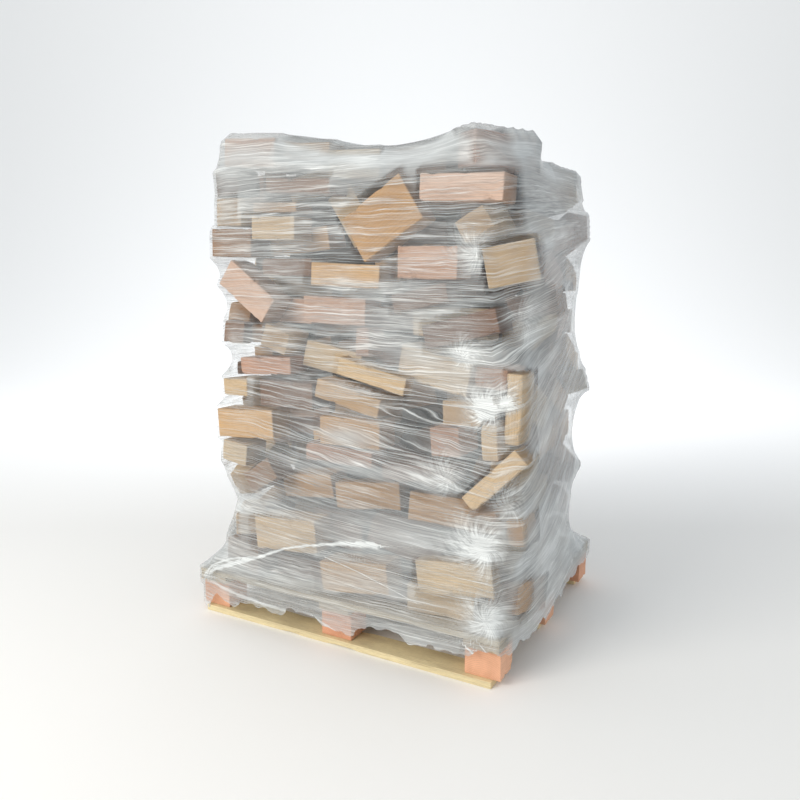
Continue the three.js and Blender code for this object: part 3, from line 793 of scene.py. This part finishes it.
def stretchFilm(columns, rows, capRows, rounds, reach=None):
    # The film spans the gaps like a stretched skin: every point moves to the mean of its neighbours,
    # weighed by the pull each way, but never inside the wood.
    start, direction, nominal = filmRays(columns, rows, capRows)
    # a block also counts for the rays beside it, so that no edge comes through between two rays
    wood = np.max([
        farthestWood(start, filmRays(columns, rows, capRows, aside)[1], wrapped, film["standOff"])
        for aside in (-0.7, 0.0, 0.7)
    ], axis=0)
    wood[1:-1] = np.max([wood[:-2], wood[1:-1], wood[2:]], axis=0)
    if reach is None:
        reach = nominal * 1.1
    reach = np.maximum(reach, wood)
    up = 1.0
    around = film["aroundPull"] * (rows / film["rim"]) ** -2 / (film["roughGirth"] / columns) ** 2
    for _ in range(rounds):
        points = start + reach[..., None] * direction
        sides = np.roll(points, 1, axis=1) + np.roll(points, -1, axis=1)
        above = np.concatenate([points[1:], points[-1:].mean(axis=1, keepdims=True).repeat(columns, 1)])
        below = np.concatenate([points[:1], points[:-1]])
        mean = (around * sides + up * (above + below)) / (2 * around + 2 * up)
        reach = np.maximum(((mean - start) * direction).sum(axis=-1), wood)
    return start, direction, reach, wood


def finer(values, columns, rows, capRows, newColumns, newRows, newCapRows):
    # the same field on a finer grid, wall and cap apart
    def resample(part, newCount):
        old = np.linspace(0, 1, len(part))
        new = np.linspace(0, 1, newCount)
        rowsDone = np.stack([np.interp(new, old, part[:, i]) for i in range(part.shape[1])], axis=1)
        closed = np.concatenate([rowsDone, rowsDone[:, :1]], axis=1)
        oldAround = np.linspace(0, 1, closed.shape[1])
        newAround = np.linspace(0, 1, newColumns, endpoint=False)
        return np.stack([np.interp(newAround, oldAround, row) for row in closed])

    wall = resample(values[:rows], newRows)
    cap = resample(values[rows - 1:], newCapRows)[1:]
    return np.concatenate([wall, cap])


palletBoxes = cadBoxes([
    name for name in frame["nodes"] if name.startswith(("deck_board", "stringer_board", "pallet_block"))
])
# the film takes no notice of the third ring, the blocks under the top and the core, well inside the pile
outer = np.r_[:len(ownNames) + sum(came[:4]), len(ownNames) + sum(came[:7]):len(allBoxes[0])]
wrapped = joinBoxes([palletBoxes, tuple(part[outer] for part in allBoxes)])

reach = None
for coarser, rounds in film["sinkRounds"].items():
    grid = [film[key] // coarser for key in ("columns", "rows", "capRows")]
    if reach is not None:
        reach = finer(reach, *lastGrid, *grid)
    start, direction, reach, wood = stretchFilm(*grid, rounds, reach)
    lastGrid = grid
filmPoints = start + reach[..., None] * direction
fromMiddle = filmPoints - palletMiddle
free = np.clip((reach - wood) / film["looseFrom"], 0, 1)  # 0 where the film lies on wood, 1 well off it
print("film stretched, share on wood", float((free < 0.05).mean()))

columns = film["columns"]
rowsInAll = len(filmPoints)
around = np.linalg.norm(np.roll(filmPoints, -1, axis=1) - filmPoints, axis=-1)
girthRow = np.argmin(np.abs(filmPoints[:, 0, 2] - 0.9))  # the row at 0.9 m, where the girth is measured
distance = np.concatenate([[0], np.cumsum(around[girthRow])])
girth = distance[-1]
angle = 2 * np.pi * distance[:-1] / girth
height = fromMiddle[..., 2]
upStep = np.linalg.norm(np.diff(filmPoints, axis=0), axis=-1)
climb = np.concatenate([filmPoints[:1, :, 2], filmPoints[:1, :, 2] + np.cumsum(upStep, axis=0)])
rise = np.where(
    np.arange(rowsInAll)[:, None] < film["rows"],
    height,
    height[film["rows"] - 1][None] + climb - climb[film["rows"] - 1][None],
)
# the creases climb along the right side and come down again along the back
share = np.arange(columns) / columns
climbed = np.interp(share, cornerShares[1:] - [film["climbFrom"], 0, 0], [0, 1, 0])
fade = np.clip((height - 0.3) / 0.25, 0, 1) * np.clip((1.6 - height) / 0.4, 0, 1)
rise = rise - film["rightClimb"] * climbed * fade
sunk = np.interp(share, [0, cornerShares[1], cornerShares[2], 1], [0, 1, 0.3, 0])
rise = rise + sunk * np.interp(height, *zip(*film["drift"]))
# and they gather at the outer corners of the blocks that show
signs = np.array([(a, b, c) for a in (-1, 1) for b in (-1, 1) for c in (-1, 1)])
ownCorners = ownBoxes[0][:, None] + np.einsum("nij,nkj->nki", ownBoxes[1], signs * ownBoxes[2][:, None])
ownCorners = ownCorners.reshape(-1, 3)
for corner in ownCorners[ownCorners[:, 1] - palletMiddle[1] < film["fanFront"]]:
    off = filmPoints - corner
    beside = np.hypot(off[..., 0], off[..., 1])
    pull = np.exp(-beside / film["fanWide"] - (off[..., 2] / film["fanTall"]) ** 2)
    rise = rise + film["fanShare"] * off[..., 2] * pull
circle = girth / (2 * np.pi)
filmPlace = np.stack([
    np.broadcast_to(circle * np.cos(angle), rise.shape),
    np.broadcast_to(circle * np.sin(angle), rise.shape),
    rise,
], axis=-1)


# Where the film is gathered into a bright crumpled patch: the place in mm, its reach, its strength and
# the way in which its hair lines fan out, in degrees from the right.
bursts = [
    ((468, -520, 1015), 50, 0.7, 60),
    ((548, -520, 875), 58, 1.25, 190),
    ((600, -520, 890), 44, 1.0, 60),
    ((552, -520, 452), 95, 0.9, 165),
    ((505, -520, 1310), 70, 0.5, 160),
    ((420, -520, 655), 65, 0.6, 150),
    ((608, -500, 590), 75, 0.7, 90),
    ((622, -460, 1120), 70, 0.4, 20),
    ((575, -520, 215), 95, 0.7, 120),
    ((-520, -500, 600), 60, 0.4, 0),
]
burstPlace = np.zeros(filmPoints.shape)
burstShare = np.zeros(filmPoints.shape[:2])
for number, (place, reachOut, strength, toward) in enumerate(bursts):
    off = fromMiddle - np.array(place) * mm
    off[..., 0] = off[..., 0] + off[..., 1]
    radius = np.hypot(off[..., 0], off[..., 2]) + 1e-6
    bearing = np.arctan2(off[..., 2], off[..., 0])
    lobe = 0.5 + 0.5 * np.cos(bearing - math.radians(toward))
    extent = reachOut * mm * (0.55 + 0.6 * lobe + 0.12 * np.sin(bearing * 5 + number))
    here = strength * np.exp(-(radius / extent) ** 2) * (np.abs(off[..., 1]) < 0.25)
    mine = here > burstShare
    bent = bearing + 0.5 * radius / extent
    outward = radius / (reachOut * mm) * 1.6 + 7 * number
    spokes = np.stack([np.cos(bent) * 6, np.sin(bent) * 6, outward], axis=-1)
    burstPlace = np.where(mine[..., None], spokes, burstPlace)
    burstShare = np.maximum(burstShare, here)


# Strands: how far each point of the film lies above or below the nearest one
strandOff = np.full(filmPoints.shape[:2], 0.2)
strandWide = np.full(filmPoints.shape[:2], 0.002)
strandWhite = np.zeros(filmPoints.shape[:2])
for side, line, white in strands:
    here = fromMiddle[..., [0, 2]] if side == "front" else fromMiddle[..., [1, 2]]
    on = fromMiddle[..., 1] < -0.36 if side == "front" else fromMiddle[..., 0] > 0.42
    line = np.array(line) * mm
    for a, b, wideA, wideB in zip(line[:-1, :2], line[1:, :2], line[:-1, 2], line[1:, 2]):
        along = b - a
        t = np.clip(((here - a) @ along) / (along @ along), 0, 1)
        off = here - a - t[..., None] * along
        below = off @ np.array([-along[1], along[0]]) < 0
        fromLine = np.linalg.norm(off, axis=-1) * np.where(below, -1, 1)
        nearer = on & (np.abs(fromLine) < np.abs(strandOff))
        strandOff = np.where(nearer, fromLine, strandOff)
        strandWide = np.where(nearer, wideA + t * (wideB - wideA), strandWide)
        strandWhite = np.where(nearer, white, strandWhite)


# Creases lie where a noise stretched along the film crosses its middle value: about every 12 mm, every
# 26 mm, and fine ones every 3 mm. For each there is how often its noise changes in a metre round and up,
# its half width in that noise, and how white it is.
creases = [(1.1, 88, 0.045, 0.4), (0.9, 40, 0.03, 0.26), (5, 330, 0.16, 0.1)]


def filmMaterial():
    # Stretch film, thin polyethylene: clear where it lies on the wood, and where it spans a gap its creases
    # and its many layers show as fine white lines, one side of each crease with a painted highlight, the
    # other with painted shade
    material, put, shader = newMaterial("clearStretchFilm")
    keys = ("filmPlace", "burstPlace", "strand", "burstShare", "veil", "free", "edge")
    attributes = [put("Attribute", (), {"attribute_name": key}) for key in keys]
    place, spokes, strand = (node.outputs["Vector"] for node in attributes[:3])
    burst, veil, loose, edge = (node.outputs["Fac"] for node in attributes[3:])
    # the creases ripple a few millimetres up and down every 70 mm or so
    ripple = put("TexNoise", {"Vector": place, "Scale": 14.0, "Detail": 1.0}).outputs["Color"]
    place = put("VectorMath", (ripple, (0, 0, 0.008), place), fused)
    # one side of a crease gets a painted highlight, the other painted shade, and where the veil is thick they
    # are faint
    quiet = put("MapRange", (veil, 0.2, 0.75, 1.0, 0.35))
    whiteness, whiteAndPaintedHighlight, paintedCreaseShade, height = veil, 0.0, 0.0, 0.0
    for around, up, width, white in creases:
        noise, bundle = (
            put("TexNoise", {
                "Vector": put("VectorMath", (place, often), times), "Scale": 1.0, "Detail": detail,
            })
            for often, detail in (((around, around, up), 2.0), ((around * 1.3, around * 1.3, up / 6), 1.0))
        )
        off = put("Math", (noise, 0.5), {"operation": "SUBTRACT"})
        away = put("Math", (off,), {"operation": "ABSOLUTE"})
        line = put("MapRange", (away, 0.0, width, 1.0, 0.0))
        # they come in bundles
        bundle = put("MapRange", (bundle, 0.36, 0.6, 0.3, 1.0))
        line = put("Math", (line, bundle), times)
        line = put("Math", (line, quiet), times)
        whiteness = put("Math", (line, white, whiteness), fused)
        # painted light on the creases: where the noise lies above its middle the line is painted light, below
        # it painted dark
        side = put("MapRange", (off, -width * 0.5, width * 0.1))
        bright = put("Math", (line, side), times)
        dark = put("Math", (line, bright), {"operation": "SUBTRACT"})
        whiteAndPaintedHighlight = put("Math", (whiteAndPaintedHighlight, bright), add)
        paintedCreaseShade = put("Math", (paintedCreaseShade, dark), add)
        height = put("Math", (line, height), add)
    # noises for the milky smears of the free film, for the width of the strands and for the tears
    smear, waver, tear = (
        put("TexNoise", {
            "Vector": put("VectorMath", (place, (around, around, up)), times),
            "Scale": 1.0, "Detail": detail, "Roughness": roughness,
        })
        for around, up, detail, roughness in ((1.8, 12, 4.0, 0.65), (28, 60, 2.0, 0.5), (9, 26, 3.0, 0.45))
    )
    smear = put("MapRange", (smear, 0.48, 0.74, 0.0, 0.34))
    smear = put("Math", (smear, loose), times)
    whiteness = put("Math", (smear, whiteness), add)
    whiteAndPaintedHighlight = put("Math", (smear, whiteAndPaintedHighlight), add)
    # the bursts: hair lines that fan out, and a core that is white all over
    star = put("TexNoise", {"Vector": spokes, "Scale": 1.5, "Detail": 3.0, "Roughness": 0.6})
    star = put("MapRange", (star, 0.38, 0.66, 0.25, 0.95))
    star = put("Math", (star, burst), times)
    core = put("MapRange", (burst, 0.7, 1.15, 0.0, 0.7))
    star = put("Math", (star, core), add)
    whiteAndPaintedHighlight = put("Math", (star, 1.4, whiteAndPaintedHighlight), fused)
    alpha = put("Math", (star, whiteness), add)
    # rolled strands, with a wavering width
    strandOff, strandWide, strandWhite = put("SeparateXYZ", (strand,)).outputs
    waver = put("MapRange", (waver, 0.3, 0.7, 0.5, 1.5))
    wide = put("Math", (strandWide, waver), times)
    away = put("Math", (strandOff,), {"operation": "ABSOLUTE"})
    away = put("Math", (away, wide), {"operation": "DIVIDE"})
    rolled = put("MapRange", (away, 0.15, 1.3, 1.0, 0.0), {"interpolation_type": "SMOOTHSTEP"})
    whiteAndPaintedHighlight = put("Math", (rolled, strandWhite, whiteAndPaintedHighlight), fused)
    alpha = put("Math", (rolled, strandWhite, alpha), fused)
    height = put("Math", (rolled, 2.5, height), fused)
    # tears near the lower edge
    tear = put("Math", (tear, edge), add)
    sound = put("MapRange", (tear, 0.44, 0.47))
    alpha = put("Math", (sound, alpha), times)
    alpha = put("Math", (alpha, 0.96), {"operation": "MINIMUM"})
    # milky blue-grey where many layers lie together, white for smears, bursts and strands and as painted
    # highlight on one side of a crease, dark grey as painted shade on the other
    base = hexColour("#C3C8CA")
    for amount, most, colour in ((whiteAndPaintedHighlight, 1.0, "#EFF3F3"), (paintedCreaseShade, 0.8, "#94989A")):
        amount = put("Clamp", (amount, 0.0, most))
        mixed = put("Mix", {0: amount, 6: base, 7: hexColour(colour)}, {"data_type": "RGBA"})
        base = mixed.outputs[2]
    bump = put("Bump", {"Height": height, "Strength": 0.6, "Distance": 1.0 * mm})
    feed(shader, {"Base Color": base, "Alpha": alpha, "Roughness": 0.22, "IOR": 1.5, "Normal": bump})
    return material


stretchWrap = filmMaterial()

# The veil is thin on the wood and thicker off it, thicker where the film leans back, as a painted reflection
# of the sky, and thicker again where it was wound many times: round the top, the foot and the near right
# side, where it is also a painted sheen.
veilLook = {
    "onWood": 0.03,
    "offWood": 0.12,
    "leaning": 0.3,
    "top": (0.36, 1.48, 0.12),  # how much, from what height, and over how much height it comes in
    "foot": (0.2, 0.56, 0.06),
    "right": (0.36, 0.012, 0.02),  # how much, and over what share of the girth it comes and goes
    "milky": 0.75,
}
acrossWay = np.roll(filmPoints, -1, axis=1) - np.roll(filmPoints, 1, axis=1)
facing = np.cross(acrossWay, np.gradient(filmPoints, axis=0))
facing = facing / np.maximum(np.linalg.norm(facing, axis=-1, keepdims=True), 1e-12)
veil = veilLook["onWood"] + veilLook["offWood"] * free
# painted reflection: free film that faces up is made more opaque and so paler, as where it would reflect the
# sky
veil = veil + veilLook["leaning"] * np.clip(facing[..., 2] * 1.6, 0, 1) * free
for key, way in (("top", 1), ("foot", -1)):
    much, start, over = veilLook[key]
    veil = veil + much * np.clip((height - start) * way / over, 0, 1)
# on the near right side the thicker veil stands for more layers of film and also for a painted sheen of film
# seen at a grazing angle
much, coming, going = veilLook["right"]
onRight = np.clip((share - cornerShares[1]) / coming, 0, 1) * np.clip((cornerShares[2] - share) / going, 0, 1)
veil = veil + much * onRight
# broad milky smears on the front: across, up, half width and half height in mm, and strength
milky = [
    (-400, 1490, 230, 70, 0.35),
    (110, 645, 420, 26, 0.4),
    (240, 1110, 260, 40, 0.35),
    (330, 1030, 110, 30, 0.35),
    (-250, 905, 180, 22, 0.25),
    (330, 450, 240, 50, 0.4),
    (560, 235, 90, 50, 0.45),
    (-160, 1330, 200, 34, 0.25),
    (-300, 1475, 150, 30, 0.25),
    (300, 1200, 180, 34, 0.3),
    (80, 770, 160, 70, 0.12),
    (80, 742, 120, 36, 0.9),
]
onFront = np.clip((-0.34 - fromMiddle[..., 1]) / 0.05, 0, 1)
for across, up, wide, tall, strength in milky:
    off = ((fromMiddle[..., 0] - across * mm) / (wide * mm)) ** 2
    off = off + ((height - up * mm) / (tall * mm)) ** 2
    veil = veil + veilLook["milky"] * strength * np.exp(-off) * onFront * (0.35 + 0.65 * free)

# blocks that show clearly through the film round the foot: the place and its reach in mm, and how much
# of the veil goes there
clearPatches = [
    ((450, -500, 312), 125, 0.75),
    ((640, -395, 262), 80, 0.75),
]
for place, reachOut, cut in clearPatches:
    off = np.linalg.norm(fromMiddle - np.array(place) * mm, axis=-1) / (reachOut * mm)
    veil = veil * (1 - cut * np.exp(-off ** 4))

# how sound the film is: torn open here and there close above its lower edge, more so on the front
tornEdge = {"within": 30 * mm, "sound": 0.5, "offset": 0.04, "frontLess": 0.06}
edge = np.clip((filmPoints[..., 2] - filmPoints[:1, :, 2]) / tornEdge["within"], 0, 1) * tornEdge["sound"]
edge = edge - tornEdge["frontLess"] * (fromMiddle[..., 1] < -0.4) * (edge < 0.4) + tornEdge["offset"]

quads = gridFaces(columns, rowsInAll, True)
k = np.arange(columns)
lastRow = (rowsInAll - 1) * columns
tris = np.stack([lastRow + k, lastRow + (k + 1) % columns, np.full(columns, rowsInAll * columns)], axis=-1)


def withPole(values):
    # one row for every point, and the mean of the last row for the point that closes the top
    return np.concatenate([values.reshape(rowsInAll * columns, *values.shape[2:]), values[-1:].mean(axis=1)])


strand = np.stack([strandOff, strandWide, strandWhite], axis=-1)
filmValues = {
    "filmPlace": filmPlace, "free": free, "veil": veil, "burstPlace": burstPlace, "burstShare": burstShare,
    "strand": strand, "edge": edge,
}
filmValues = {key: withPole(values) for key, values in filmValues.items()}
filmSkin = makePiece("film_wrap", withPole(filmPoints), [quads, tris], stretchWrap, filmValues, True)
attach(filmSkin, "root")
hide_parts("stretch_film")
print("film made,", len(quads) * 2, "triangles")


# Floor and light

stage = {
    "wide": 14,  # in metres either way
    "front": -8,
    "back": 6,
    "rise": 9,
    "flatShare": 0.6,  # of the sweep
    "rows": 60,
}


def makeStage():
    # floor and wall in one sweep: flat to the back, then a quarter round up
    front, back, rise, flat = (stage[key] for key in ("front", "back", "rise", "flatShare"))
    t = np.linspace(0, 1, stage["rows"])[:, None]
    bend = (t - flat) / (1 - flat) * np.pi / 2
    y = np.where(t < flat, front + t / flat * (back - front), back + rise * np.sin(bend))
    z = np.where(t < flat, 0, rise - rise * np.cos(bend))
    x = np.linspace(-stage["wide"], stage["wide"], 3)[None]
    points = np.stack(np.broadcast_arrays(x, y, z), axis=-1).reshape(-1, 3)
    turn = math.radians(cameraView["turn"])
    spin = np.array([[math.cos(turn), -math.sin(turn), 0], [math.sin(turn), math.cos(turn), 0], [0, 0, 1]])
    material, _, shader = newMaterial("paleStudioFloor")
    feed(shader, {"Base Color": hexColour("#FAFAF9"), "Roughness": 0.9})
    faces = gridFaces(3, stage["rows"], False)
    makePiece("studio_floor", points @ spin.T, [faces], material, {}, True)


makeStage()

world = bpy.data.worlds.new("studio")
world.use_nodes = True
feed(world.node_tree.nodes["Background"], (hexColour("#F1F4F6"), 0.76))
bpy.context.scene.world = world
bpy.context.scene.view_settings.view_transform = "Standard"


def addLamp(name, place, aim, size, power, colour):
    lamp = bpy.data.objects.new(name, bpy.data.lights.new(name, "AREA"))
    lamp.data.shape = "RECTANGLE"
    lamp.data.size, lamp.data.size_y = size
    lamp.data.energy = power
    lamp.data.color = hexColour(colour)[:3]
    lamp.location = place
    lamp.rotation_euler = (Vector(aim) - Vector(place)).to_track_quat("-Z", "Y").to_euler()
    bpy.context.scene.collection.objects.link(lamp)


addLamp("key_light", (-1.6, -4.9, 3.3), (0, 0, 0.7), (3.0, 2.0), 170, "#FFF9F0")
addLamp("wall_light", (-1.4, 2.6, 5.6), (-5.2, 9.4, 2.6), (5.0, 2.4), 420, "#F6F9FF")
